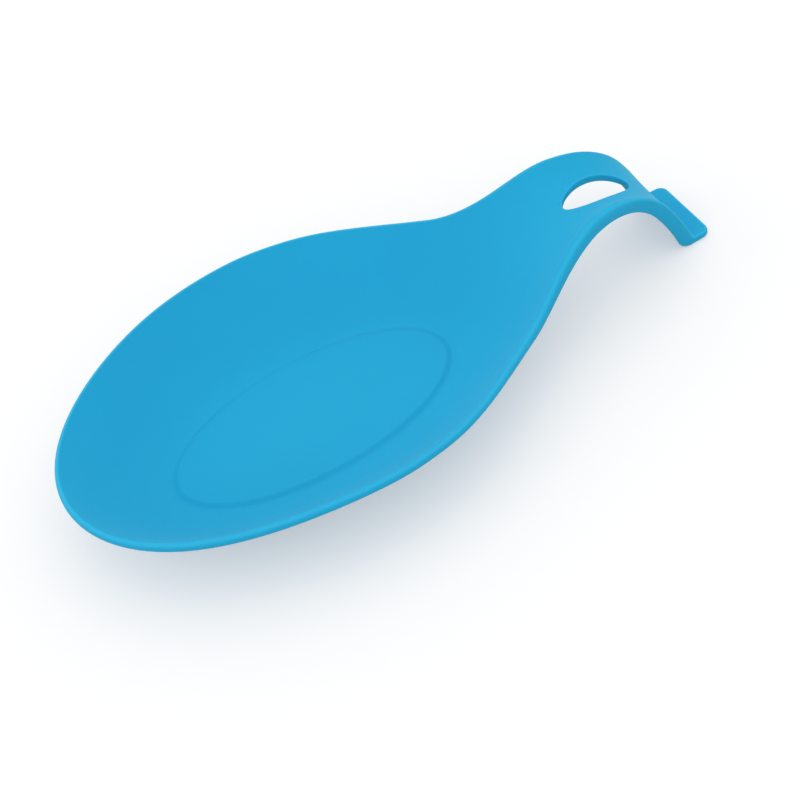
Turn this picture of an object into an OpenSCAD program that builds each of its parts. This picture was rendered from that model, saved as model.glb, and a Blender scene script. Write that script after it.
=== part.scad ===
// Spoon rest: an oval bowl that runs through a waist into an arched handle.
// The handle comes down in a hook and stands on a small foot that turns outward.
// The whole object is one moulding of silicone rubber.
// Heights are above the table. Lengths along the object run from the tip of the
// bowl's rim. Widths are taken across the inner top edge of the rim.

/* [Bowl] */
// Width of the bowl across the inner edge of its rim
bowl_w = 98; // [90:0.5:106]
// Distance from the tip to the widest place
bowl_x = 75; // [70:0.2:82]
// Fullness of the tip's outline, where 2 is an ellipse
tip_power = 2.02; // [1.9:0.02:2.4]
// Steepening of the bowl's wall from its floor to its rim
wall_power = 1.6; // [1.4:0.05:2]
// Height of the rim at the tip
tip_h = 21.4; // [19:0.2:24]
// Height of the rim along the bowl's sides
side_h = 23.6; // [21:0.2:26]
// Height of the rim at the low place before the handle
waist_h = 20; // [18:0.2:22]

/* [Floor] */
// Length of the raised oval on the floor
floor_l = 84; // [76:1:90]
// Width of the raised oval on the floor
floor_w = 42.4; // [36:0.2:46]
// Distance from the tip to the middle of the oval
floor_x = 70.2; // [66:0.2:74]
// Height of the raised oval
floor_h = 3.2; // [2.9:0.1:4]
// Height of the floor round the oval
dish_h = 2.5; // [2:0.1:2.7]
// Width of the slope from the oval down to the floor
step_run = 1.6; // [1:0.1:3]

/* [Handle] */
// Distance from the tip to the crest of the handle
crest_x = 161; // [154:0.5:170]
// Height of the handle's edges at the crest
crest_h = 32; // [30:0.2:35]
// Radius of the arch past the crest, along its edges
arch_r = 24.8; // [24:0.2:26]
// Slope of the hook where its arch ends, in degrees
drop_a = 61.6; // [58:0.2:65]
// Slope of the hook just above the foot, in degrees
heel_a = 75; // [70:0.5:80]
// Width where the waist becomes the handle
neck_w = 32.8; // [30:0.2:36]
// Distance from the crest back to that place
neck_back = 10.5; // [8:0.5:13]
// Width of the handle just past the crest
grip_w = 26.7; // [25:0.1:29]
// Distance from the crest on to that place
grip_on = 4.5; // [3.5:0.5:8]
// Depth of the handle's dished top at the crest
grip_dish = 5; // [4:0.1:6]
// Depth of that dish at the bottom of the hook
hook_dish = 0.4; // [0:0.1:1.5]

/* [Hanging hole] */
// Length of the hole, as its ends stand along the handle's edges seen from above
hole_l = 24.6; // [18:0.2:26]
// Width of the hole
hole_w = 9.7; // [8:0.1:12]
// Distance from the crest on to the middle of the hole
hole_on = 8.7; // [6:0.1:10]
// Radius of the hole's rounded edges
hole_r = 0.5; // [0.3:0.05:0.55]

/* [Foot] */
// Width of the foot across the top of its edges
foot_w = 23.1; // [20:0.1:26]
// Length of the foot's flat lip
foot_l = 3.8; // [3:0.1:8]
// Thickness of the lip
foot_t = 1.9; // [1.7:0.1:2.5]
// Radius of the lip's corners, seen from above
toe_r = 2; // [1.5:0.1:2.9]
// Radius of the hollow between the hook and the lip
hollow_r = 1.6; // [1.2:0.1:2.4]
// Radius of the heel under that hollow
heel_r = 4; // [3:0.1:5]

/* [Wall] */
// Width of the rim's rounded top, outside its inner edge
rim_r = 1.5; // [1.2:0.05:1.75]
// Height of the rim's outer edge
rim_t = 2.3; // [2.25:0.05:3]
// Thickness of the handle along its edges at the crest
grip_t = 4.5; // [3.8:0.1:5]
// Thickness along the middle of the handle at the crest
grip_mid = 1.2; // [1.1:0.05:2]
// Thickness of the hook along its edges above the foot
drop_t = 4.4; // [4:0.1:4.8]
// Thickness along the middle of the hook above the foot
drop_mid = 1.3; // [1.1:0.05:2]
// Width of the rounded top edge of the hook and the foot
foot_r = 0.8; // [0.6:0.05:1.1]
// Radius of the lower outer edge
under_r = 0.5; // [0.3:0.05:0.55]

/* [Hidden] */
silicone = [0.14, 0.62, 0.82];

// Where the outline leaves the widest place, as shares of the way to the crest
// and of the half width
shoulder_shares = [0.165, 0.961];
// Where the rim is level along the bowl, as shares of the way to the crest
side_share = 0.323;
waist_share = 0.79;
// Where the handle's strip takes over from the bowl's spokes, and where the two
// forms begin to mix, as shares of the way to the crest
neck_share = 0.87;
mix_share = 0.68;
// Where the rim's round edge has narrowed to the foot's, as a share of the arch
narrow_share = 0.7;
// Direction of the spokes to the neck's corner and to the widest place
corner_a = 37;
wide_a = 87;
// Rings inside the raised oval, as shares of its size
oval_shares = [0.4, 0.75, 1];

// Counts of faces
neck_n = 8;
side_n = 12;
tip_n = 16;
step_n = 3;
wall_n = 10;
lead_n = 4;
hole_n = 12;
drop_n = 8;
heel_n = 6;
toe_n = 4;
spokes_n = 2 * (neck_n + side_n + tip_n);

// Curves and small helpers
function mix(a, b, s) = a + (b - a) * s;
function clamp(u) = min(1, max(0, u));
function smooth(u) = let (c = clamp(u)) c * c * (3 - 2 * c);
function unit(v) = v / norm(v);
function mirrored(p) = [p[0], -p[1], p[2]];
function rise(xs, ys, i) = (ys[i + 1] - ys[i]) / (xs[i + 1] - xs[i]);

// Slope of a smooth curve at one of its knots: level at the ends and where the
// curve turns back, and otherwise the weighted harmonic mean of its neighbours
function knot_slope(xs, ys, i) =
    i == 0 || i == len(xs) - 1 ? 0 :
    let (
        before = rise(xs, ys, i - 1),
        after = rise(xs, ys, i),
        h0 = xs[i] - xs[i - 1],
        h1 = xs[i + 1] - xs[i]
    )
    before * after <= 0 ? 0 :
    3 * (h0 + h1) / ((2 * h1 + h0) / before + (h1 + 2 * h0) / after);

// Height of the smooth curve through the knots (xs, ys)
function curve(x, xs, ys) =
    let (
        i = max([for (k = [0:len(xs) - 2]) if (k == 0 || x >= xs[k]) k]),
        h = xs[i + 1] - xs[i],
        u = clamp((x - xs[i]) / h)
    )
    mix(ys[i], ys[i + 1], smooth(u))
    + h * u * (1 - u) * ((1 - u) * knot_slope(xs, ys, i) - u * knot_slope(xs, ys, i + 1));

// The hook's side profile: an arch, a drop that steepens on a wider arc, a hollow
// that turns outward, and the flat lip. The underside keeps its distance down to
// the heel, which is rounder than the hollow above it.
function normal(a) = [sin(a), cos(a)];
function turn(start, r, from, a) = start + r * (normal(from) - normal(a));
function arch_top(a) = [crest_x + arch_r * sin(a), crest_h - arch_r * (1 - cos(a))];
function arch_under(a) = arch_top(a) - mix(grip_t, drop_t, a / drop_a) * normal(a);
drop_start = arch_top(drop_a);
drop_r =
    (drop_start[1] - foot_t - hollow_r * (1 - cos(heel_a))) / (cos(drop_a) - cos(heel_a));
function drop_top(a) = drop_start + drop_r * (normal(a) - normal(drop_a));
function drop_under(a) = drop_top(a) - drop_t * normal(a);
under_a = acos((heel_r - drop_start[1] + drop_r * cos(drop_a)) / (drop_r - drop_t + heel_r));
arch_l = arch_r * drop_a * PI / 180;
drop_l = drop_r * (heel_a - drop_a) * PI / 180;
drop_end = drop_top(heel_a);
lip_x = drop_end[0] + hollow_r * sin(heel_a);
end_x = lip_x + foot_l;

// The outline, as half widths along the length
width_xs = [
    bowl_x,
    mix(bowl_x, crest_x, shoulder_shares[0]),
    crest_x - neck_back,
    crest_x + grip_on,
    lip_x
];
half_widths = [bowl_w / 2, bowl_w / 2 * shoulder_shares[1], neck_w / 2, grip_w / 2, foot_w / 2];
function tip_half(x) = bowl_w / 2 * pow(1 - pow(1 - x / bowl_x, tip_power), 1 / tip_power);
function toe_half(x) =
    let (past = max(0, x - end_x + toe_r))
    foot_w / 2 - toe_r + sqrt(max(0, toe_r * toe_r - past * past));
function half_width(x) =
    x < bowl_x ? tip_half(x) :
    x > lip_x ? toe_half(x) :
    curve(x, width_xs, half_widths);

// The rim's height, and the height of the floor and handle along the middle
rim_xs = [0, side_share * crest_x, waist_share * crest_x, crest_x];
rim_hs = [tip_h, side_h, waist_h, crest_h];
function rim_z(x) = curve(x, rim_xs, rim_hs);
floor_end = floor_x + floor_l / 2 + step_run;
function middle_z(x) =
    mix(dish_h, crest_h - grip_dish, smooth((x - floor_end) / (crest_x - floor_end)));

// The strip's form at any place before the crest: dished across, thinner in the
// middle of the handle than along its edges
neck_x = neck_share * crest_x;
mix_x = mix_share * crest_x;
function handle_share(x) = smooth((x - mix_x) / (crest_x - mix_x));
function edge_t(x) = mix(rim_t, grip_t, handle_share(x));
function middle_t(x) = mix(rim_t, grip_mid, handle_share(x));
function across(x, y) = clamp(abs(y) / half_width(x));
function strip_top(x, y) = mix(middle_z(x), rim_z(x), pow(across(x, y), 2));
function strip_under(x, y) = strip_top(x, y) - mix(middle_t(x), edge_t(x), pow(across(x, y), 2));

// Rows of the strip: where the edge's top and underside lie, how deep the top is
// dished, how thick the middle is against the edge, and the edge's top radius
function rim_row(x) = [
    [x, rim_z(x)],
    [x, rim_z(x) - edge_t(x)],
    rim_z(x) - middle_z(x),
    middle_t(x) / edge_t(x),
    rim_r
];
function hook_row(top, under, run, turned = 0) =
    let (
        s = smooth(run / (arch_l + drop_l)),
        flat_share = smooth(turned),
        middle_share = mix(grip_mid / grip_t, drop_mid / drop_t, s)
    )
    [
        top,
        under,
        mix(grip_dish, hook_dish, s) * (1 - flat_share),
        mix(middle_share, 1, flat_share),
        mix(rim_r, foot_r, smooth(run / (narrow_share * arch_l)))
    ];
function arch_row(a) = hook_row(arch_top(a), arch_under(a), arch_r * a * PI / 180);
function drop_row(s) =
    hook_row(
        drop_top(mix(drop_a, heel_a, s)),
        drop_under(mix(drop_a, under_a, s)),
        arch_l + s * drop_l
    );
function drop_share(x) =
    (asin(sin(drop_a) + (x - drop_start[0]) / drop_r) - drop_a) / (heel_a - drop_a);
function handle_row(x) =
    x <= crest_x ? rim_row(x) :
    x <= drop_start[0] ? arch_row(asin((x - crest_x) / arch_r)) :
    drop_row(drop_share(x));
function heel_row(s) =
    hook_row(
        turn(drop_end, hollow_r, heel_a, heel_a * (1 - s)),
        turn(drop_under(under_a), heel_r, under_a, under_a * (1 - s)),
        arch_l + drop_l,
        s
    );
function lip_row(x) = hook_row([x, foot_t], [x, 0], arch_l + drop_l, 1);

hole_x = crest_x + hole_on;
hole_half_l = hole_l / 2 + hole_r;
hole_half_w = hole_w / 2 + hole_r;
hole_start = hole_x - hole_half_l;
hole_end = hole_x + hole_half_l;
rows = concat(
    [for (j = [0:lead_n - 1]) handle_row(mix(neck_x, hole_start, j / lead_n))],
    [for (j = [0:hole_n]) handle_row(hole_x - hole_half_l * cos(180 * j / hole_n))],
    [for (j = [1:drop_n]) handle_row(mix(hole_end, drop_end[0], j / drop_n))],
    [for (j = [1:heel_n]) heel_row(j / heel_n)],
    [for (j = [0:toe_n]) lip_row(end_x - toe_r * (1 - sin(90 * j / toe_n)))]
);
last = len(rows) - 1;
first_open = lead_n;
last_open = lead_n + hole_n;
function is_open(s) = s > first_open && s < last_open;

// Half width of the hole at a row, and the rows' columns from the middle or the
// hole's edge (c = 0) to the outline (c = neck_n)
function hole_half(s) =
    is_open(s) ? hole_half_w * sin(180 * (s - first_open) / hole_n) : 0;
function row_half(s) = half_width(rows[s][0][0]);
function column_y(s, c) = mix(hole_half(s), row_half(s), c / neck_n);
function column_across(s, c) = pow(column_y(s, c) / row_half(s), 2);
function row_top(s, side, c) =
    let (dip = rows[s][2] * (1 - column_across(s, c)) * unit(rows[s][1] - rows[s][0]))
    [rows[s][0][0] + dip[0], side * column_y(s, c), rows[s][0][1] + dip[1]];
function row_fall(s, c) =
    let (fall = (rows[s][1] - rows[s][0]) * mix(rows[s][3], 1, column_across(s, c)))
    [fall[0], 0, fall[1]];

// Spokes of the bowl, counted from the handle round by the far side. Each has its
// direction on the oval and the point that it runs to, on the rim or the neck.
function rim_point(x) = [x, half_width(x), rim_z(x)];
function tip_point(a) =
    let (x = bowl_x * (1 - pow(cos(a), 2 / tip_power)))
    [x, bowl_w / 2 * pow(sin(a), 2 / tip_power), rim_z(x)];
half_spokes = concat(
    [for (j = [0:neck_n]) [corner_a * j / neck_n, row_top(0, 1, j)]],
    [for (j = [1:side_n])
        [mix(corner_a, wide_a, j / side_n), rim_point(mix(neck_x, bowl_x, j / side_n))]],
    [for (j = [1:tip_n]) [mix(wide_a, 180, j / tip_n), tip_point(90 * (1 - j / tip_n))]]
);
half_n = len(half_spokes) - 1;
spokes = concat(
    half_spokes,
    [for (i = [half_n - 1:-1:1]) [-half_spokes[i][0], mirrored(half_spokes[i][1])]]
);
function oval_point(a, share, grow) =
    [
        floor_x + (floor_l / 2 * share + grow) * cos(a),
        (floor_w / 2 * share + grow) * sin(a)
    ];
function plan(p) = [p[0], p[1]];
function lifted(p, z) = [p[0], p[1], z];

// The outer edge as one loop, counter-clockwise from above: the rim from the far
// corner of the neck round the tip, the near edge of the handle, the foot's end
// and the far edge back
rim_n = spokes_n - 2 * neck_n + 1;
function loop_place(m) =
    let (near = m - rim_n + 1, end = near - last, far = last - (end - 2 * neck_n))
    m < rim_n ? ["rim", m + neck_n] :
    near <= last ? ["near", near] :
    end < 2 * neck_n ? ["end", end - neck_n] :
    ["far", far];
edge_n = rim_n - 1 + 2 * last + 2 * neck_n;
places = [for (m = [0:edge_n - 1]) loop_place(m)];
function place_point(p) =
    p[0] == "rim" ? spokes[p[1]][1] :
    p[0] == "near" ? row_top(p[1], -1, neck_n) :
    p[0] == "far" ? row_top(p[1], 1, neck_n) :
    row_top(last, sign(p[1]), abs(p[1]));
function place_fall(p) =
    p[0] == "rim" ? [0, 0, -edge_t(spokes[p[1]][1][0])] :
    p[0] == "end" ? row_fall(last, neck_n) :
    row_fall(p[1], neck_n);
function place_r(p) = p[0] == "rim" ? rim_r : rows[p[0] == "end" ? last : p[1]][4];
edge_top = [for (p = places) place_point(p)];
edge_fall = [for (p = places) place_fall(p)];
edge_r = [for (p = places) place_r(p)];

// The hole's edge as one loop, clockwise from above
hole_edge_n = 2 * hole_n;
hole_places = [
    for (m = [0:hole_edge_n - 1])
        m <= hole_n ? [first_open + m, 1] : [last_open - (m - hole_n), -1]
];
hole_top = [for (p = hole_places) row_top(p[0], p[1], 0)];
hole_fall = [for (p = hole_places) row_fall(p[0], 0)];
hole_rs = [for (p = hole_places) hole_r];

// Direction out of the material at each point of a loop
function outward(loop, falls) =
    let (n = len(loop))
    [for (m = [0:n - 1])
        unit(cross(falls[m], loop[(m + 1) % n] - loop[(m + n - 1) % n]))];
edge_out = outward(edge_top, edge_fall);
hole_out = outward(hole_top, hole_fall);

// Rounded band from the top skin to the under skin round a loop. Each step has its
// way out and down for a top radius r and a lower radius q on a wall of height t.
// Along a loop the top radius may change from point to point.
top_turns = [30, 60, 90];
under_turns = [90, 45];
function band_steps(r, q, t) = concat(
    [for (a = top_turns) [r * sin(a), r * (1 - cos(a))]],
    [for (a = under_turns) [r - q + q * sin(a), t - q * (1 - cos(a))]]
);
band_n = len(top_turns) + len(under_turns);
function band_points(loop, falls, outs, rs, q) = [
    for (k = [0:band_n - 1], m = [0:len(loop) - 1])
        let (t = norm(falls[m]), step = band_steps(rs[m], q, t)[k])
        loop[m] + step[0] * outs[m] + step[1] * falls[m] / t
];

// Under skin: each top point moved by its fall, and spread to the rim's outer edge
function spread(s) = rows[s][4] - under_r;
function rim_out(i) = edge_out[i - neck_n];
function row_out(s, side) =
    side < 0 ? edge_out[rim_n - 1 + s] :
    s == 0 ? edge_out[0] :
    edge_out[edge_n - s];
function end_out(side, c) = edge_out[rim_n - 1 + last + neck_n + side * c];
function row_under(s, side, c) =
    row_top(s, side, c) + row_fall(s, c)
    + spread(s) * (s == last ? end_out(side, c) : c / neck_n * row_out(s, side));
function spoke_under(i) =
    i <= neck_n ? row_under(0, 1, i) :
    i >= spokes_n - neck_n ? row_under(0, -1, spokes_n - i) :
    spokes[i][1] + [0, 0, -edge_t(spokes[i][1][0])] + spread(0) * rim_out(i);

// Rings of the bowl's two skins. Up to mix_x they have the bowl's form alone.
function blended(x, bowl_z, strip_z) =
    x <= mix_x ? bowl_z : mix(bowl_z, strip_z, smooth((x - mix_x) / (neck_x - mix_x)));
function wall_top(i, t) =
    let (
        end = spokes[i][1],
        p = mix(oval_point(spokes[i][0], 1, step_run), plan(end), t),
        bowl_z = mix(dish_h, end[2], pow(t, wall_power))
    )
    lifted(p, blended(p[0], bowl_z, strip_top(p[0], p[1])));
function wall_under(i, t) =
    let (
        end = spoke_under(i),
        start = oval_point(spokes[i][0], 1, step_run),
        p = mix(start, plan(end), t),
        above = mix(start, plan(spokes[i][1]), t),
        bowl_z = end[2] * pow(t, wall_power)
    )
    lifted(p, blended(above[0], bowl_z, strip_under(above[0], above[1])));
top_rings = concat(
    [for (share = oval_shares)
        [for (s = spokes) lifted(oval_point(s[0], share, 0), floor_h)]],
    [for (j = [1:step_n])
        [for (s = spokes)
            lifted(
                oval_point(s[0], 1, step_run * j / step_n),
                mix(floor_h, dish_h, smooth(j / step_n))
            )]],
    [for (j = [1:wall_n]) [for (i = [0:spokes_n - 1]) wall_top(i, j / wall_n)]]
);
under_rings = concat(
    [[for (s = spokes) lifted(oval_point(s[0], 1, step_run), 0)]],
    [for (j = [1:wall_n]) [for (i = [0:spokes_n - 1]) wall_under(i, j / wall_n)]]
);

// Each skin's points: the oval's centre, the rings, then the rows, where each row
// has its far half first. A closed row's near half shares the middle point.
row_n = 2 * neck_n + 2;
function flat(lists) = [for (l = lists) each l];
top_skin = concat(
    [[floor_x, 0, floor_h]],
    flat(top_rings),
    [for (s = [1:last], side = [1, -1], c = [0:neck_n]) row_top(s, side, c)]
);
under_skin = concat(
    [[floor_x, 0, 0]],
    flat(under_rings),
    [for (s = [1:last], side = [1, -1], c = [0:neck_n]) row_under(s, side, c)]
);

// Number of a point in a skin that starts at base and has rings_n rings
function ring_index(base, k, i) = base + 1 + (k - 1) * spokes_n + (i + spokes_n) % spokes_n;
function row_index(base, rings_n, s, side, c) =
    s == 0 ? ring_index(base, rings_n, side * c) :
    base + 1 + rings_n * spokes_n + (s - 1) * row_n
    + (side > 0 || (c == 0 && !is_open(s)) ? c : neck_n + 1 + c);
function place_index(base, rings_n, p) =
    p[0] == "rim" ? ring_index(base, rings_n, p[1]) :
    p[0] == "near" ? row_index(base, rings_n, p[1], -1, neck_n) :
    p[0] == "far" ? row_index(base, rings_n, p[1], 1, neck_n) :
    row_index(base, rings_n, last, p[1] < 0 ? -1 : 1, abs(p[1]));

// Two triangles for a four-cornered face, split along either diagonal
function halves(q, other) =
    other ? [[q[0], q[1], q[3]], [q[1], q[2], q[3]]] : [[q[0], q[1], q[2]], [q[0], q[2], q[3]]];
function turned(faces) = [for (f = faces) [f[2], f[1], f[0]]];
function skin_faces(base, rings_n) = concat(
    [for (i = [0:spokes_n - 1]) [base, ring_index(base, 1, i + 1), ring_index(base, 1, i)]],
    [for (k = [1:rings_n - 1], i = [0:spokes_n - 1])
        each halves([
            ring_index(base, k, i),
            ring_index(base, k, i + 1),
            ring_index(base, k + 1, i + 1),
            ring_index(base, k + 1, i)
        ], i < half_n)],
    [for (s = [0:last - 1], c = [0:neck_n - 1])
        each halves([
            row_index(base, rings_n, s, 1, c),
            row_index(base, rings_n, s, 1, c + 1),
            row_index(base, rings_n, s + 1, 1, c + 1),
            row_index(base, rings_n, s + 1, 1, c)
        ], false)],
    [for (s = [0:last - 1], c = [0:neck_n - 1])
        each halves([
            row_index(base, rings_n, s, -1, c + 1),
            row_index(base, rings_n, s, -1, c),
            row_index(base, rings_n, s + 1, -1, c),
            row_index(base, rings_n, s + 1, -1, c + 1)
        ], true)]
);

// Faces of a band from one loop to another, over the band's own rings
function band_faces(upper, base, lower) =
    let (
        n = len(upper),
        loops = concat(
            [upper],
            [for (k = [0:band_n - 1]) [for (m = [0:n - 1]) base + k * n + m]],
            [lower]
        )
    )
    [for (k = [0:band_n], m = [0:n - 1])
        each halves([
            loops[k][m],
            loops[k][(m + 1) % n],
            loops[k + 1][(m + 1) % n],
            loops[k + 1][m]
        ], m < n / 2)];

under_base = len(top_skin);
edge_base = under_base + len(under_skin);
hole_base = edge_base + band_n * edge_n;
top_rings_n = len(top_rings);
under_rings_n = len(under_rings);
body_points = concat(
    top_skin,
    under_skin,
    band_points(edge_top, edge_fall, edge_out, edge_r, under_r),
    band_points(hole_top, hole_fall, hole_out, hole_rs, hole_r)
);
body_faces = concat(
    skin_faces(0, top_rings_n),
    turned(skin_faces(under_base, under_rings_n)),
    band_faces(
        [for (p = places) place_index(0, top_rings_n, p)],
        edge_base,
        [for (p = places) place_index(under_base, under_rings_n, p)]
    ),
    band_faces(
        [for (p = hole_places) row_index(0, top_rings_n, p[0], p[1], 0)],
        hole_base,
        [for (p = hole_places) row_index(under_base, under_rings_n, p[0], p[1], 0)]
    )
);

// The one moulding, stood with the middle of its box over the origin
middle_x = (end_x + foot_r - rim_r) / 2;
module rest_body() {
    color(silicone)
        translate([-middle_x, 0, 0])
            polyhedron(points = body_points, faces = body_faces, convexity = 6);
}

rest_body();
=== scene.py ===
import math

import bmesh
import bpy
import numpy as np
from mathutils import Matrix, Vector


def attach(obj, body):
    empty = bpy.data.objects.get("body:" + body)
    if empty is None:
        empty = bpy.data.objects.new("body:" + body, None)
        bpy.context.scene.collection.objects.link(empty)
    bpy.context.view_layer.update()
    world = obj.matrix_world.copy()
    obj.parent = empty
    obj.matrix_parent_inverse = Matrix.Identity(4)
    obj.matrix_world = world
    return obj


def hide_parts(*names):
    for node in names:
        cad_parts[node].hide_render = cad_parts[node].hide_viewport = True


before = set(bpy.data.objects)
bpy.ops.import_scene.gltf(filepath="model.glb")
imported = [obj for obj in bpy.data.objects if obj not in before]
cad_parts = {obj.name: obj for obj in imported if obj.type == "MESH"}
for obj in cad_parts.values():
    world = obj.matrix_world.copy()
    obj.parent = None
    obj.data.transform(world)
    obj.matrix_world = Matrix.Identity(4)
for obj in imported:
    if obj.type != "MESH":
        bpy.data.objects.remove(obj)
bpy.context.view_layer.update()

# Sizes of the object, in millimetres. Lengths run from the tip of the bowl's rim,
# heights are above the table, and widths are across the inner edge of the rim.

# Bowl: its width and widest place, the powers of the tip's outline and of the wall's
# rise, the heights of the rim, and the raised oval on the floor with its sloping edge
BOWL_W = 98.0
BOWL_X = 75.0
TIP_POWER = 2.02
WALL_POWER = 1.6
TIP_H = 21.4
SIDE_H = 23.6
WAIST_H = 20.0
FLOOR_L = 84.0
FLOOR_W = 42.4
FLOOR_X = 70.2
FLOOR_H = 3.2
DISH_H = 2.5
STEP_RUN = 1.6
STEP_SOFT = 0.5

# Handle: its crest, the arch, the slopes at which the arch and the drop end, the widths
# of neck and grip with their ways back from and on past the crest, and the dish's depths
CREST_X = 161.0
CREST_H = 31.996
ARCH_R = 24.8
DROP_A = math.radians(61.6)
HEEL_A = math.radians(75.0)
NECK_W = 33.4
NECK_BACK = 10.5
GRIP_W = 26.7
GRIP_ON = 4.5
GRIP_DISH = 5.0
HOOK_DISH = 0.4

# Hanging hole: its length and its way on past the crest are along the handle's surface
HOLE_L = 24.6
HOLE_W = 10.3
HOLE_ON = 8.6
HOLE_R = 0.5

# Foot: the flat lip and its corners, the hollow above it and the heel below that
FOOT_W = 23.1
FOOT_L = 3.8
FOOT_T = 1.9
TOE_R = 2.0
HOLLOW_R = 1.6
HEEL_R = 4.0

# Edges: the radii of the rounded top on the rim, the arm and the foot, and of the
# underside, and the thickness at the edge and along the middle
RIM_R = 1.5
ARM_R = 2.0
FOOT_R = 0.8
UNDER_R = 0.5
RIM_T = 2.3
GRIP_T = 4.5
GRIP_MID = 2.0
DROP_T = 4.4
DROP_MID = 1.3

# Evening out of the outline's bends: over this length each way, from this far before
# the bowl's widest place
EVEN_L = 7.0
EVEN_BACK = 28.0

# Shares of the way from the tip to the crest: where the rim is highest along the bowl and
# lowest at the waist, where bowl and handle start to mix, and where the handle's rows start
SIDE_SHARE = 0.323
WAIST_SHARE = 0.79
MIX_SHARE = 0.68
NECK_SHARE = 0.87

# Other shares: the shoulder's place between widest place and crest and its share of the
# bowl's width, the arch over which the rounded top narrows, and the hook over which the
# dish ends
SHOULDER_SHARES = (0.165, 0.961)
NARROW_SHARE = 0.7
DISH_SHARE = 0.8

# Faces: counts across half the handle, round half the bowl's side and its tip, on the
# oval's edge, up the wall, and along the handle's stretches down to the toe
NECK_N = 32
SIDE_N = 48
TIP_N = 64
SPOKES_N = 2 * (NECK_N + SIDE_N + TIP_N)
STEP_N = 12
WALL_N = 48
LEAD_N = 16
HOLE_N = 48
DROP_N = 32
HEEL_N = 16
TOE_N = 12

# Spokes that go to the handle's corner and to the bowl's widest place, by their direction
# on the oval in degrees, and the shares at which rings lie on the oval and end the wall
CORNER_A = 37.0
WIDE_A = 87.0
OVAL_SHARES = (0.2, 0.4, 0.6, 0.8, 0.93, 0.98, 1.0)
EDGE_SHARES = (0.985, 0.995, 1.0)

# Rings of a rounded edge: their turns from facing up, out over the top, and then their
# turns from facing down, back in under the edge
TOP_TURNS = np.radians([4, 9, 20, 32, 44, 56, 68, 80, 90])
UNDER_TURNS = np.radians([90, 68, 45, 22])

# Rows at each end of the hole over which its upright wall fades, and places that evening
# out averages
PLUMB_N = 16
EVEN_N = 25

# Silicone: its colour, the lighter colour painted on its rounded edges as a highlight, and the
# turn where that painted highlight is strongest, the shader's values, the moulded grain, and the
# clouding, whose stops are each a place on the ramp and a share of the colour
SILICONE = (0.012, 0.39, 0.66)
PAINTED_EDGE_HIGHLIGHT = (0.024, 0.445, 0.725)
HIGHLIGHT_TURN = math.radians(30.0)
SILICONE_VALUES = {
    "Roughness": 0.65,
    "IOR": 1.41,
    "Specular IOR Level": 0.2,
    "Subsurface Weight": 0.15,
    "Subsurface Radius": (0.2, 0.6, 1.0),
    "Subsurface Scale": 0.0015,
    "Sheen Weight": 0.05,
}
GRAIN_VALUES = {"Scale": 1400.0, "Detail": 4.0, "Roughness": 0.6}
BUMP_VALUES = {"Strength": 0.12, "Distance": 0.0001}
CLOUD_VALUES = {"Scale": 18.0, "Detail": 3.0}
CLOUD_STOPS = ((0.3, 0.98), (0.7, 1.02))

# Floor: its size and its place just under the foot, in metres, its colour and shader
# values, and the glow that lifts it to white where it is seen straight
FLOOR_SIZE = 6.0
FLOOR_Z = -0.0001
FLOOR_COLOUR = (0.6, 0.6, 0.6)
FLOOR_VALUES = {"Roughness": 0.9, "Specular IOR Level": 0.0}
FLOOR_LIFT = 0.38
WHITE = (1.0, 1.0, 1.0)

# Light: the world's strength on the object and where it is seen straight, and two round
# lamps, with place and size in metres and power in watts
WORLD_LIGHT = 1.02
WORLD_SEEN = 1.0
KEY_LIGHT = {"place": (-1.0, 0.2, 0.6), "size": 0.8, "power": 1.0}
TOP_LIGHT = {"place": (0.3, 0.3, 1.0), "size": 1.0, "power": 0.3}

# Camera, as the photograph's large view was taken: its angles in degrees, its distance and
# aim and its sensor in millimetres, the picture's scale and size and where the aim lies in
# it, in pixels, and the nearest place that it sees, in metres
CAMERA_TURN = -15.8
CAMERA_RISE = 45.88
CAMERA_ROLL = -17.99
CAMERA_FAR = 553.8
CAMERA_AIM = (97.5, 0.0, 12.0)
SENSOR = 36.0
PIXELS_PER_MM = 3.61
PICTURE = 800
AIM_PIXEL = (390.29, 346.06)
CLIP_START = 0.01

# Metres in a millimetre, and the space between nodes in the editor
MM = 0.001
NODE_SPACE = 250


def mix(a, b, s):
    return a + (b - a) * s


def smooth(u):
    c = np.clip(u, 0.0, 1.0)
    return c * c * (3.0 - 2.0 * c)


def knot_slopes(xs, ys):
    """Slopes of a smooth curve at its knots: level at the ends and where it turns back."""
    run = np.diff(xs)
    rise = np.diff(ys) / run
    slopes = np.zeros(len(xs))
    for i in range(1, len(xs) - 1):
        if rise[i - 1] * rise[i] > 0.0:
            before = (2.0 * run[i] + run[i - 1]) / rise[i - 1]
            after = (run[i] + 2.0 * run[i - 1]) / rise[i]
            slopes[i] = 3.0 * (run[i - 1] + run[i]) / (before + after)
    return slopes


def curve(x, xs, ys):
    """Height of the smooth curve through the knots (xs, ys)."""
    xs = np.array(xs)
    ys = np.array(ys)
    slopes = knot_slopes(xs, ys)
    i = np.clip(np.searchsorted(xs, x, side="right") - 1, 0, len(xs) - 2)
    h = xs[i + 1] - xs[i]
    u = np.clip((x - xs[i]) / h, 0.0, 1.0)
    bend = h * u * (1.0 - u) * ((1.0 - u) * slopes[i] - u * slopes[i + 1])
    return mix(ys[i], ys[i + 1], smooth(u)) + bend


# The hook's side profile: an arch, a drop that steepens on a wider arc, a hollow
# that turns outward, and the flat lip, over a heel that is rounder than the hollow
def normal(a):
    return np.array([math.sin(a), math.cos(a)])


def turn(start, r, first, a):
    return start + r * (normal(first) - normal(a))


def arch_top(a):
    return np.array([CREST_X + ARCH_R * math.sin(a), CREST_H - ARCH_R * (1.0 - math.cos(a))])


def arch_under(a):
    return arch_top(a) - mix(GRIP_T, DROP_T, a / DROP_A) * normal(a)


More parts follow.
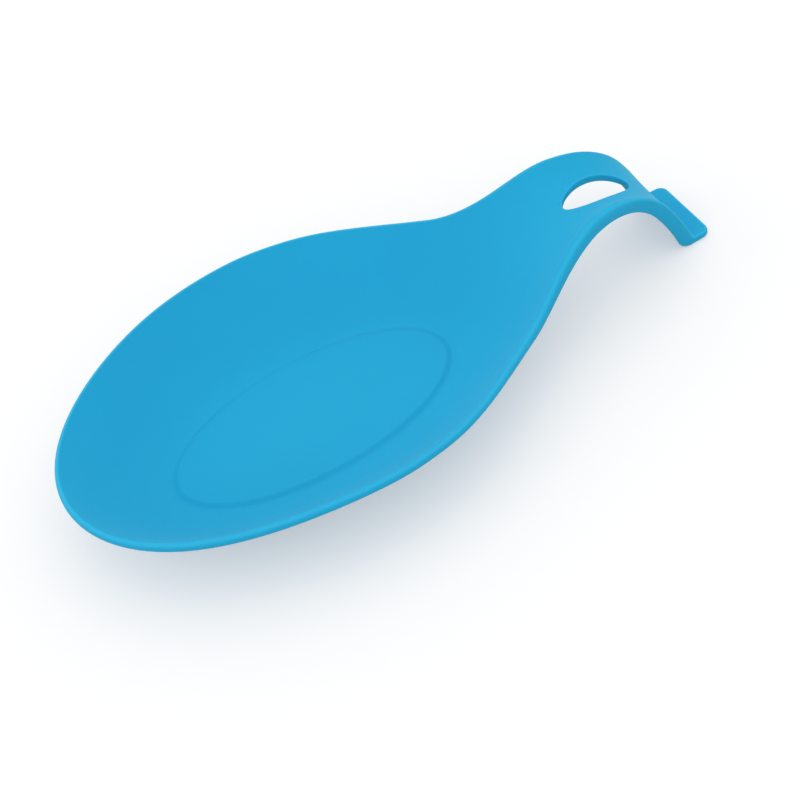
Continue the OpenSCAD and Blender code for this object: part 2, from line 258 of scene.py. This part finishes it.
DROP_START = arch_top(DROP_A)
HOOK_DROP = DROP_START[1] - FOOT_T - HOLLOW_R * (1.0 - math.cos(HEEL_A))
DROP_R = HOOK_DROP / (math.cos(DROP_A) - math.cos(HEEL_A))
UNDER_A = math.acos(
    (HEEL_R - DROP_START[1] + DROP_R * math.cos(DROP_A)) / (DROP_R - DROP_T + HEEL_R)
)


def drop_top(a):
    return DROP_START + DROP_R * (normal(a) - normal(DROP_A))


def drop_under(a):
    return drop_top(a) - DROP_T * normal(a)


ARCH_L = ARCH_R * DROP_A
DROP_L = DROP_R * (HEEL_A - DROP_A)
DROP_END = drop_top(HEEL_A)
LIP_X = DROP_END[0] + HOLLOW_R * math.sin(HEEL_A)
END_X = LIP_X + FOOT_L
MIDDLE_X = (END_X + FOOT_R - RIM_R) / 2
WIDTH_XS = (
    BOWL_X,
    mix(BOWL_X, CREST_X, SHOULDER_SHARES[0]),
    CREST_X - NECK_BACK,
    CREST_X + GRIP_ON,
    LIP_X,
)
HALF_WIDTHS = (
    BOWL_W / 2,
    BOWL_W / 2 * SHOULDER_SHARES[1],
    NECK_W / 2,
    GRIP_W / 2,
    FOOT_W / 2,
)
EVEN_XS = (BOWL_X - EVEN_BACK, CREST_X + EVEN_L)
RIM_XS = (0.0, SIDE_SHARE * CREST_X, WAIST_SHARE * CREST_X, CREST_X)
RIM_HS = (TIP_H, SIDE_H, WAIST_H, CREST_H)
FLOOR_END = FLOOR_X + FLOOR_L / 2 + STEP_RUN
NECK_X = NECK_SHARE * CREST_X
MIX_X = MIX_SHARE * CREST_X


def knot_width(x):
    """Half width through the knots, before its bends are evened out."""
    tip = BOWL_W / 2 * (1.0 - np.clip(1.0 - x / BOWL_X, 0.0, 1.0) ** TIP_POWER) ** (1.0 / TIP_POWER)
    past = np.clip(x - END_X + TOE_R, 0.0, TOE_R)
    toe = FOOT_W / 2 - TOE_R + np.sqrt(TOE_R**2 - past**2)
    return np.where(x < BOWL_X, tip, np.where(x > LIP_X, toe, curve(x, WIDTH_XS, HALF_WIDTHS)))


def arm_share(x):
    """How near the rounded edge is to its width on the arm, which is most at the crest."""
    run = ARCH_R * np.arcsin(np.clip((x - CREST_X) / ARCH_R, 0.0, 1.0))
    rise = smooth((x - MIX_X) / (CREST_X - MIX_X))
    return rise * (1.0 - smooth(run / (NARROW_SHARE * ARCH_L)))


def edge_r(x):
    """Radius of the rim's rounded top before the crest."""
    return RIM_R + (ARM_R - RIM_R) * arm_share(x)


def half_width(x):
    """Half width to the inner edge of the rim at a place along the object."""
    x = np.asarray(x, float)
    steps = np.linspace(-1.0, 1.0, EVEN_N)
    weights = 1.0 - steps**2
    summed = sum(w * knot_width(x + EVEN_L * step) for w, step in zip(weights, steps))
    share = smooth((x - EVEN_XS[0]) / EVEN_L) * smooth((EVEN_XS[1] - x) / EVEN_L)
    return mix(knot_width(x), summed / weights.sum(), share) - (ARM_R - RIM_R) * arm_share(x)


# Heights of the rim and of the middle before the crest, and the thickness at each
def rim_z(x):
    return curve(x, RIM_XS, RIM_HS)


def middle_z(x):
    return mix(DISH_H, CREST_H - GRIP_DISH, smooth((x - FLOOR_END) / (CREST_X - FLOOR_END)))


def edge_t(x):
    return mix(RIM_T, GRIP_T, smooth((x - MIX_X) / (CREST_X - MIX_X)))


def middle_t(x):
    return mix(RIM_T, GRIP_MID, smooth((x - MIX_X) / (CREST_X - MIX_X)))


def strip_z(x, y, thick):
    """Height of the strip before the crest, lowered by its thickness where thick is 1."""
    across = np.clip(np.abs(y) / half_width(x), 0.0, 1.0) ** 2
    top = mix(middle_z(x), rim_z(x), across)
    return top - thick * mix(middle_t(x), edge_t(x), across)


# Rows of the strip: top and underside of its edge, depth of the dish, the middle's
# thickness against the edge's, and the edge's top radius
def rim_row(x):
    top = np.array([x, rim_z(x)])
    under = top - np.array([0.0, edge_t(x)])
    return top, under, rim_z(x) - middle_z(x), middle_t(x) / edge_t(x), edge_r(x)


def hook_row(top, under, run, turned=0.0):
    """Row at a distance past the crest, and at a share of the heel's turn into the lip."""
    s = smooth(run / (ARCH_L + DROP_L))
    shallow = smooth(run / (DISH_SHARE * (ARCH_L + DROP_L)))
    flat_share = smooth(turned)
    middle_share = mix(GRIP_MID / GRIP_T, DROP_MID / DROP_T, s)
    return (
        np.array(top),
        np.array(under),
        mix(GRIP_DISH, HOOK_DISH, shallow) * (1.0 - flat_share),
        mix(middle_share, 1.0, flat_share),
        mix(ARM_R, FOOT_R, smooth(run / (NARROW_SHARE * ARCH_L))),
    )


def arch_row(a):
    return hook_row(arch_top(a), arch_under(a), ARCH_R * a)


def drop_row(s):
    top = drop_top(mix(DROP_A, HEEL_A, s))
    under = drop_under(mix(DROP_A, UNDER_A, s))
    return hook_row(top, under, ARCH_L + s * DROP_L)


def drop_share(x):
    """Share of the drop's turn that is done at a place along the object."""
    slope = math.asin(math.sin(DROP_A) + (x - DROP_START[0]) / DROP_R)
    return (slope - DROP_A) / (HEEL_A - DROP_A)


def handle_row(x):
    if x <= CREST_X:
        return rim_row(x)
    if x <= DROP_START[0]:
        return arch_row(math.asin((x - CREST_X) / ARCH_R))
    return drop_row(drop_share(x))


def heel_row(s):
    top = turn(DROP_END, HOLLOW_R, HEEL_A, HEEL_A * (1.0 - s))
    under = turn(drop_under(UNDER_A), HEEL_R, UNDER_A, UNDER_A * (1.0 - s))
    return hook_row(top, under, ARCH_L + DROP_L, s)


def lip_row(x):
    return hook_row([x, FOOT_T], [x, 0.0], ARCH_L + DROP_L, 1.0)


HOLE_HALF_L = HOLE_L / 2 + HOLE_R
HOLE_HALF_W = HOLE_W / 2 + HOLE_R
FIRST_OPEN = LEAD_N
LAST_OPEN = LEAD_N + HOLE_N


def handle_x(run):
    """Place along the object at a distance past the crest, over the arch."""
    return CREST_X + (ARCH_R * math.sin(run / ARCH_R) if run > 0.0 else run)


def strip_rows():
    """Rows from the neck to the toe, closer together towards the ends of the hole."""
    start = handle_x(HOLE_ON - HOLE_HALF_L)
    end = handle_x(HOLE_ON + HOLE_HALF_L)
    rows = [handle_row(mix(NECK_X, start, j / LEAD_N)) for j in range(LEAD_N)]
    for j in range(HOLE_N + 1):
        run = HOLE_ON - HOLE_HALF_L * math.cos(math.pi * j / HOLE_N)
        rows.append(handle_row(handle_x(run)))
    rows += [handle_row(mix(end, DROP_END[0], j / DROP_N)) for j in range(1, DROP_N + 1)]
    rows += [heel_row(j / HEEL_N) for j in range(1, HEEL_N + 1)]
    for j in range(TOE_N + 1):
        rows.append(lip_row(END_X - TOE_R * (1.0 - math.sin(math.pi / 2 * j / TOE_N))))
    return rows


ROWS = strip_rows()
LAST = len(ROWS) - 1


def is_open(s):
    return FIRST_OPEN < s < LAST_OPEN


def column_y(s, c):
    """Distance of a row's column from the middle, from the hole's edge to the outline."""
    hole = HOLE_HALF_W * math.sin(math.pi * (s - FIRST_OPEN) / HOLE_N) if is_open(s) else 0.0
    return mix(hole, HALF[s], c / NECK_N)


HALF = [float(half_width(row[0][0])) for row in ROWS]


def row_top(s, side, c):
    """Point of the top, dipped below the line between the edges."""
    y = column_y(s, c)
    top, under, dish = ROWS[s][:3]
    fall = (under - top) / np.linalg.norm(under - top)
    dip = dish * (1.0 - (y / HALF[s]) ** 2) * fall
    return np.array([top[0] + dip[0], side * y, top[1] + dip[1]])


def square_fall(s, c):
    """Way through the strip, square to its surface."""
    top, under, dish, middle = ROWS[s][:4]
    fall = (under - top) * mix(middle, 1.0, (column_y(s, c) / HALF[s]) ** 2)
    return np.array([fall[0], 0.0, fall[1]])


def row_fall(s, c):
    """Way through the strip, turned straight down towards the hole's upright wall."""
    fall = square_fall(s, c)
    past = max(FIRST_OPEN - s, s - LAST_OPEN, 0)
    aside = (column_y(s, c) - HOLE_HALF_W) / (HALF[s] - HOLE_HALF_W)
    share = (1.0 - smooth(past / PLUMB_N)) * (1.0 - smooth(aside))
    return mix(fall, np.array([0.0, 0.0, fall @ fall / fall[2]]), share)


def rim_point(x):
    return np.array([x, float(half_width(x)), float(rim_z(x))])


def tip_point(a):
    x = BOWL_X * (1.0 - math.cos(a) ** (2.0 / TIP_POWER))
    wide = BOWL_W / 2 * math.sin(a) ** (2.0 / TIP_POWER)
    return np.array([x, float(half_width(x)) if x > EVEN_XS[0] else wide, float(rim_z(x))])


def spoke_list():
    """Each spoke's direction on the oval and its end, counted round from the handle."""
    half = [(CORNER_A * j / NECK_N, row_top(0, 1, j)) for j in range(NECK_N + 1)]
    for j in range(1, SIDE_N + 1):
        s = j / SIDE_N
        half.append((mix(CORNER_A, WIDE_A, s), rim_point(mix(NECK_X, BOWL_X, s))))
    for j in range(1, TIP_N + 1):
        s = j / TIP_N
        half.append((mix(WIDE_A, 180.0, s), tip_point(math.pi / 2 * (1.0 - s))))
    back = [(-a, p * np.array([1.0, -1.0, 1.0])) for a, p in reversed(half[1:-1])]
    return half + back


SPOKES = spoke_list()
ANGLES = np.radians([angle for angle, end in SPOKES])
ENDS = np.array([end for angle, end in SPOKES])


def oval_ring(share, grow, z):
    """Ring at a share of the raised oval's size, grown by a width all round."""
    return np.stack(
        [
            FLOOR_X + (FLOOR_L / 2 * share + grow) * np.cos(ANGLES),
            (FLOOR_W / 2 * share + grow) * np.sin(ANGLES),
            np.full(SPOKES_N, z),
        ],
        axis=1,
    )


# The outer edge as one loop, counter-clockwise from above: the rim round the tip,
# the near edge of the handle, the foot's end and the far edge back
RIM_COUNT = SPOKES_N - 2 * NECK_N + 1
PLACES = (
    [("rim", NECK_N + m) for m in range(RIM_COUNT)]
    + [("near", s) for s in range(1, LAST + 1)]
    + [("end", c) for c in range(-NECK_N + 1, NECK_N)]
    + [("far", s) for s in range(LAST, 0, -1)]
)
EDGE_N = len(PLACES)
HOLE_PLACES = [(FIRST_OPEN + m, 1) for m in range(HOLE_N + 1)]
HOLE_PLACES += [(LAST_OPEN - m, -1) for m in range(1, HOLE_N)]


def place_point(kind, i):
    """Point of the outer edge's top at a place of the loop."""
    if kind == "rim":
        return ENDS[i]
    if kind == "near":
        return row_top(i, -1, NECK_N)
    if kind == "far":
        return row_top(i, 1, NECK_N)
    return row_top(LAST, -1 if i < 0 else 1, abs(i))


def place_fall(kind, i):
    """Way through the material there."""
    if kind == "rim":
        return np.array([0.0, 0.0, -float(edge_t(ENDS[i][0]))])
    return row_fall(LAST if kind == "end" else i, NECK_N)


def place_r(kind, i):
    """Radius of the rounded top there."""
    if kind == "rim":
        return float(edge_r(ENDS[i][0]))
    return ROWS[LAST if kind == "end" else i][4]


def outward(loop, falls):
    """Direction out of the material at each point of a loop."""
    along = np.roll(loop, -1, axis=0) - np.roll(loop, 1, axis=0)
    out = np.cross(falls, along)
    return out / np.linalg.norm(out, axis=1, keepdims=True)


EDGE_TOP = np.array([place_point(*p) for p in PLACES])
EDGE_FALL = np.array([place_fall(*p) for p in PLACES])
EDGE_OUT = outward(EDGE_TOP, EDGE_FALL)
EDGE_R = np.array([[place_r(*p)] for p in PLACES])
HOLE_TOP = np.array([row_top(s, side, 0) for s, side in HOLE_PLACES])
HOLE_FALL = np.array([row_fall(s, 0) for s, side in HOLE_PLACES])
HOLE_OUT = outward(HOLE_TOP, np.array([square_fall(s, 0) for s, side in HOLE_PLACES]))


def band_rings(loop, falls, outs, r, q):
    """Rings of the rounded band round a loop, with a top radius r and a lower radius q."""
    t = np.linalg.norm(falls, axis=1, keepdims=True)
    down = falls / t
    rings = [loop + r * math.sin(a) * outs + r * (1.0 - math.cos(a)) * down for a in TOP_TURNS]
    for a in UNDER_TURNS:
        wide = r - q + q * math.sin(a)
        rings.append(loop + wide * outs + (t - q * (1.0 - math.cos(a))) * down)
    return rings


def row_out(s, side):
    """Direction out of the material at a row's near or far end."""
    if side < 0:
        return EDGE_OUT[RIM_COUNT - 1 + s]
    return EDGE_OUT[0] if s == 0 else EDGE_OUT[EDGE_N - s]


def row_under(s, side, c):
    """Point of the underside, spread outward to meet the edge's lower rounding."""
    out = c / NECK_N * row_out(s, side)
    if s == LAST:
        out = EDGE_OUT[RIM_COUNT - 1 + LAST + NECK_N + side * c]
    return row_top(s, side, c) + row_fall(s, c) + (ROWS[s][4] - UNDER_R) * out


def spoke_under(i):
    """Point of the underside at the end of a spoke."""
    if i <= NECK_N:
        return row_under(0, 1, i)
    if i >= SPOKES_N - NECK_N:
        return row_under(0, -1, SPOKES_N - i)
    fall = np.array([0.0, 0.0, -float(edge_t(ENDS[i][0]))])
    return ENDS[i] + fall + (edge_r(ENDS[i][0]) - UNDER_R) * EDGE_OUT[i - NECK_N]


UNDER_ENDS = np.array([spoke_under(i) for i in range(SPOKES_N)])


def wall_ring(start, ends, plan_ends, low, t, thick):
    """One ring of the bowl's wall, on its way from the oval at start to the ends."""
    ring = mix(start, ends, t)
    plan = mix(start, plan_ends, t)
    ring[:, 2] = mix(low, ends[:, 2], t**WALL_POWER)
    mixed = plan[:, 0] > MIX_X
    x = plan[mixed, 0]
    strip = strip_z(x, plan[mixed, 1], thick)
    ring[mixed, 2] = mix(ring[mixed, 2], strip, smooth((x - MIX_X) / (NECK_X - MIX_X)))
    return ring


def wall_shares():
    return [j / WALL_N for j in range(1, WALL_N)] + list(EDGE_SHARES)


def skin(middle_h, rings, point_at):
    """Points of one skin: the oval's centre, its rings, then the strip's rows."""
    points = [np.array([[FLOOR_X, 0.0, middle_h]])] + rings
    for s in range(1, LAST + 1):
        for side in (1, -1):
            points.append(np.array([point_at(s, side, c) for c in range(NECK_N + 1)]))
    return np.concatenate(points)


def top_skin():
    start = oval_ring(1.0, STEP_RUN, DISH_H)
    rings = [oval_ring(share, -STEP_SOFT, FLOOR_H) for share in OVAL_SHARES]
    for j in range(1, STEP_N + 1):
        s = j / STEP_N
        rings.append(oval_ring(1.0, mix(-STEP_SOFT, STEP_RUN, s), mix(FLOOR_H, DISH_H, smooth(s))))
    rings += [wall_ring(start, ENDS, ENDS, DISH_H, t, 0.0) for t in wall_shares()]
    return skin(FLOOR_H, rings, row_top), len(rings)


def under_skin():
    start = oval_ring(1.0, STEP_RUN, 0.0)
    rings = [oval_ring(share, 0.0, 0.0) for share in OVAL_SHARES] + [start]
    rings += [wall_ring(start, UNDER_ENDS, ENDS, 0.0, t, 1.0) for t in wall_shares()]
    return skin(0.0, rings, row_under), len(rings)


def ring_index(base, k, i):
    return base + 1 + (k - 1) * SPOKES_N + i % SPOKES_N


def row_index(base, rings_n, s, side, c):
    if s == 0:
        return ring_index(base, rings_n, side * c)
    shared = side > 0 or (c == 0 and not is_open(s))
    row = base + 1 + rings_n * SPOKES_N + (s - 1) * (2 * NECK_N + 2)
    return row + (c if shared else NECK_N + 1 + c)


def place_index(base, rings_n, kind, i):
    if kind == "rim":
        return ring_index(base, rings_n, i)
    if kind == "near":
        return row_index(base, rings_n, i, -1, NECK_N)
    if kind == "far":
        return row_index(base, rings_n, i, 1, NECK_N)
    return row_index(base, rings_n, LAST, -1 if i < 0 else 1, abs(i))


def skin_faces(base, rings_n):
    """Faces of one skin, counter-clockwise from above."""
    faces = []
    for i in range(SPOKES_N):
        faces.append((base, ring_index(base, 1, i), ring_index(base, 1, i + 1)))
        for k in range(1, rings_n):
            inner = (ring_index(base, k, i + 1), ring_index(base, k, i))
            outer = (ring_index(base, k + 1, i), ring_index(base, k + 1, i + 1))
            faces.append(inner + outer)
    for s in range(LAST):
        for c in range(NECK_N):
            for side in (1, -1):
                quad = [
                    row_index(base, rings_n, s, side, c),
                    row_index(base, rings_n, s + 1, side, c),
                    row_index(base, rings_n, s + 1, side, c + 1),
                    row_index(base, rings_n, s, side, c + 1),
                ]
                faces.append(tuple(quad if side > 0 else reversed(quad)))
    return faces


def band_faces(upper, base, lower, rings_n):
    """Faces of a rounded band, from a loop of the top down to one of the underside."""
    n = len(upper)
    loops = [upper] + [[base + k * n + m for m in range(n)] for k in range(rings_n)] + [lower]
    faces = []
    for above, below in zip(loops, loops[1:]):
        for m in range(n):
            after = (m + 1) % n
            faces.append((above[m], below[m], below[after], above[after]))
    return faces


def painted_highlight_shares():
    """How much painted highlight each ring of a rounded band gets: most at the highlight's turn,
    and nothing below.
    """
    top = np.sin(np.minimum(math.pi / 2 * TOP_TURNS / HIGHLIGHT_TURN, math.pi))
    return np.concatenate([np.maximum(top, 0.0), np.zeros(len(UNDER_TURNS))])


def rest_mesh():
    """The whole moulding as one closed mesh, in metres in the part's own frame."""
    top, top_n = top_skin()
    under, under_n = under_skin()
    edge_rings = band_rings(EDGE_TOP, EDGE_FALL, EDGE_OUT, EDGE_R, UNDER_R)
    hole_rings = band_rings(HOLE_TOP, HOLE_FALL, HOLE_OUT, HOLE_R, HOLE_R)
    under_base = len(top)
    edge_base = under_base + len(under)
    hole_base = edge_base + len(edge_rings) * EDGE_N
    points = np.concatenate([top, under] + edge_rings + hole_rings)
    points = (points - np.array([MIDDLE_X, 0.0, 0.0])) * MM
    faces = skin_faces(0, top_n)
    faces += [tuple(reversed(f)) for f in skin_faces(under_base, under_n)]
    faces += band_faces(
        [place_index(0, top_n, *p) for p in PLACES],
        edge_base,
        [place_index(under_base, under_n, *p) for p in PLACES],
        len(edge_rings),
    )
    faces += band_faces(
        [row_index(0, top_n, s, side, 0) for s, side in HOLE_PLACES],
        hole_base,
        [row_index(under_base, under_n, s, side, 0) for s, side in HOLE_PLACES],
        len(hole_rings),
    )
    # Painted highlight: each ring of the rounded bands gets a share of the lighter edge colour, the
    # skins get none
    painted_highlight = np.concatenate(
        [
            np.zeros(edge_base),
            np.repeat(painted_highlight_shares(), EDGE_N),
            np.repeat(painted_highlight_shares(), len(HOLE_PLACES)),
        ]
    )
    mesh = bpy.data.meshes.new("silicone_rest")
    mesh.from_pydata(points.tolist(), [], faces)
    mesh.attributes.new("painted_highlight", "FLOAT", "POINT").data.foreach_set("value", painted_highlight)
    used = np.zeros(len(points), bool)
    used[[v for f in faces for v in f]] = True
    drop_loose(mesh, used)
    mesh.polygons.foreach_set("use_smooth", [True] * len(mesh.polygons))
    mesh.update()
    return mesh


def drop_loose(mesh, used):
    """Removes the points that no face uses."""
    work = bmesh.new()
    work.from_mesh(mesh)
    work.verts.ensure_lookup_table()
    loose = [work.verts[int(i)] for i in np.flatnonzero(~used)]
    bmesh.ops.delete(work, geom=loose, context="VERTS")
    work.to_mesh(mesh)
    work.free()


def opaque(colour):
    return (*colour, 1.0)


def set_values(made, values):
    """Sets a node's sockets by name, or its own settings where no socket has the name."""
    for name, value in values.items():
        if name in made.inputs:
            made.inputs[name].default_value = value
        else:
            setattr(made, name, value)


def node(tree, kind, column, row, **values):
    """Adds a node at a place on the editor's grid, with its values."""
    made = tree.nodes.new(kind)
    made.location = (NODE_SPACE * column, NODE_SPACE * row)
    set_values(made, values)
    return made


def silicone_material():
    """Matte sky-blue silicone with a fine moulded grain, faint clouding and a painted highlight on
    its edges.
    """
    material = bpy.data.materials.new("silicone")
    material.use_nodes = True
    tree = material.node_tree
    links = tree.links
    shader = tree.nodes["Principled BSDF"]
    shader.inputs["Base Color"].default_value = opaque(SILICONE)
    set_values(shader, SILICONE_VALUES)
    place = node(tree, "ShaderNodeTexCoord", -4, 0)
    grain = node(tree, "ShaderNodeTexNoise", -3, -1, **GRAIN_VALUES)
    links.new(place.outputs["Object"], grain.inputs["Vector"])
    bump = node(tree, "ShaderNodeBump", -1, -1, **BUMP_VALUES)
    links.new(grain.outputs["Fac"], bump.inputs["Height"])
    links.new(bump.outputs["Normal"], shader.inputs["Normal"])
    cloud = node(tree, "ShaderNodeTexNoise", -3, 1, **CLOUD_VALUES)
    links.new(place.outputs["Object"], cloud.inputs["Vector"])
    tint = node(tree, "ShaderNodeValToRGB", -2, 1)
    for stop, (position, share) in zip(tint.color_ramp.elements, CLOUD_STOPS):
        stop.position = position
        stop.color = opaque([share * part for part in SILICONE])
    links.new(cloud.outputs["Fac"], tint.inputs["Fac"])
    # Painted highlight: the lighter edge colour is mixed in by each point's highlight share
    painted_highlight = node(tree, "ShaderNodeAttribute", -2, 2, attribute_name="painted_highlight")
    lit = node(tree, "ShaderNodeMix", -1, 1, data_type="RGBA")
    links.new(painted_highlight.outputs["Fac"], lit.inputs["Factor"])
    links.new(tint.outputs["Color"], lit.inputs["A"])
    lit.inputs["B"].default_value = opaque(PAINTED_EDGE_HIGHLIGHT)
    links.new(lit.outputs["Result"], shader.inputs["Base Color"])
    return material


def silicone_rest():
    piece = bpy.data.objects.new("silicone_rest", rest_mesh())
    bpy.context.scene.collection.objects.link(piece)
    piece.data.materials.append(silicone_material())
    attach(piece, "root")
    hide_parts("rest_body")
    return piece


def seen_straight(tree, row):
    """Node output that is 1 on what the camera sees directly, mirrored or through glass."""
    path = node(tree, "ShaderNodeLightPath", -4, row)
    first = node(tree, "ShaderNodeMath", -3, row, operation="MAXIMUM")
    tree.links.new(path.outputs["Is Camera Ray"], first.inputs[0])
    tree.links.new(path.outputs["Is Glossy Ray"], first.inputs[1])
    seen = node(tree, "ShaderNodeMath", -2, row, operation="MAXIMUM")
    tree.links.new(first.outputs["Value"], seen.inputs[0])
    tree.links.new(path.outputs["Is Transmission Ray"], seen.inputs[1])
    return seen.outputs["Value"]


def add_floor():
    """A pale floor that shows as plain white where it is seen straight, but for the shadow."""
    bpy.ops.mesh.primitive_plane_add(size=FLOOR_SIZE, location=(0.0, 0.0, FLOOR_Z))
    floor = bpy.context.object
    floor.name = "floor"
    material = bpy.data.materials.new("floor")
    material.use_nodes = True
    tree = material.node_tree
    shader = tree.nodes["Principled BSDF"]
    shader.inputs["Base Color"].default_value = opaque(FLOOR_COLOUR)
    shader.inputs["Emission Color"].default_value = opaque(WHITE)
    set_values(shader, FLOOR_VALUES)
    lift = node(tree, "ShaderNodeMath", -1, -1, operation="MULTIPLY")
    tree.links.new(seen_straight(tree, -1), lift.inputs[0])
    lift.inputs[1].default_value = FLOOR_LIFT
    tree.links.new(lift.outputs["Value"], shader.inputs["Emission Strength"])
    floor.data.materials.append(material)


def add_world():
    """An even white light from all round, which shows as plain white where it is seen."""
    world = bpy.data.worlds.new("studio")
    bpy.context.scene.world = world
    world.use_nodes = True
    tree = world.node_tree
    shade = tree.nodes["Background"]
    shade.inputs["Color"].default_value = opaque(WHITE)
    level = node(tree, "ShaderNodeMapRange", -1, 0)
    tree.links.new(seen_straight(tree, 0), level.inputs["Value"])
    level.inputs["To Min"].default_value = WORLD_LIGHT
    level.inputs["To Max"].default_value = WORLD_SEEN
    tree.links.new(level.outputs["Result"], shade.inputs["Strength"])


def add_light(name, place, size, power):
    """A round lamp that shines at the middle of the object."""
    data = bpy.data.lights.new(name, "AREA")
    data.shape = "DISK"
    data.size = size
    data.energy = power
    light = bpy.data.objects.new(name, data)
    light.location = place
    light.rotation_euler = (-Vector(place)).to_track_quat("-Z", "Y").to_euler()
    bpy.context.scene.collection.objects.link(light)


def add_camera():
    """The camera, turned and rolled about its aim, with the aim shifted to its pixel."""
    turn = math.radians(CAMERA_TURN)
    rise = math.radians(CAMERA_RISE)
    roll = math.radians(CAMERA_ROLL)
    ahead = Vector(
        (-math.sin(turn) * math.cos(rise), math.cos(turn) * math.cos(rise), -math.sin(rise))
    )
    level = Vector((math.cos(turn), math.sin(turn), 0.0))
    upright = level.cross(ahead)
    right = math.cos(roll) * level + math.sin(roll) * upright
    up = -math.sin(roll) * level + math.cos(roll) * upright
    aim = (Vector(CAMERA_AIM) - Vector((MIDDLE_X, 0.0, 0.0))) * MM
    place = aim - ahead * CAMERA_FAR * MM
    axes = Matrix((right, up, -ahead)).transposed().to_4x4()
    data = bpy.data.cameras.new("camera")
    data.sensor_width = SENSOR
    data.lens = PIXELS_PER_MM * CAMERA_FAR * SENSOR / PICTURE
    data.shift_x = (PICTURE / 2 - AIM_PIXEL[0]) / PICTURE
    data.shift_y = (AIM_PIXEL[1] - PICTURE / 2) / PICTURE
    data.clip_start = CLIP_START
    camera = bpy.data.objects.new("camera", data)
    camera.matrix_world = Matrix.Translation(place) @ axes
    bpy.context.scene.collection.objects.link(camera)
    bpy.context.scene.camera = camera


add_camera()
silicone_rest()
add_floor()
add_world()
add_light("key", **KEY_LIGHT)
add_light("top", **TOP_LIGHT)
bpy.context.scene.view_settings.view_transform = "Standard"
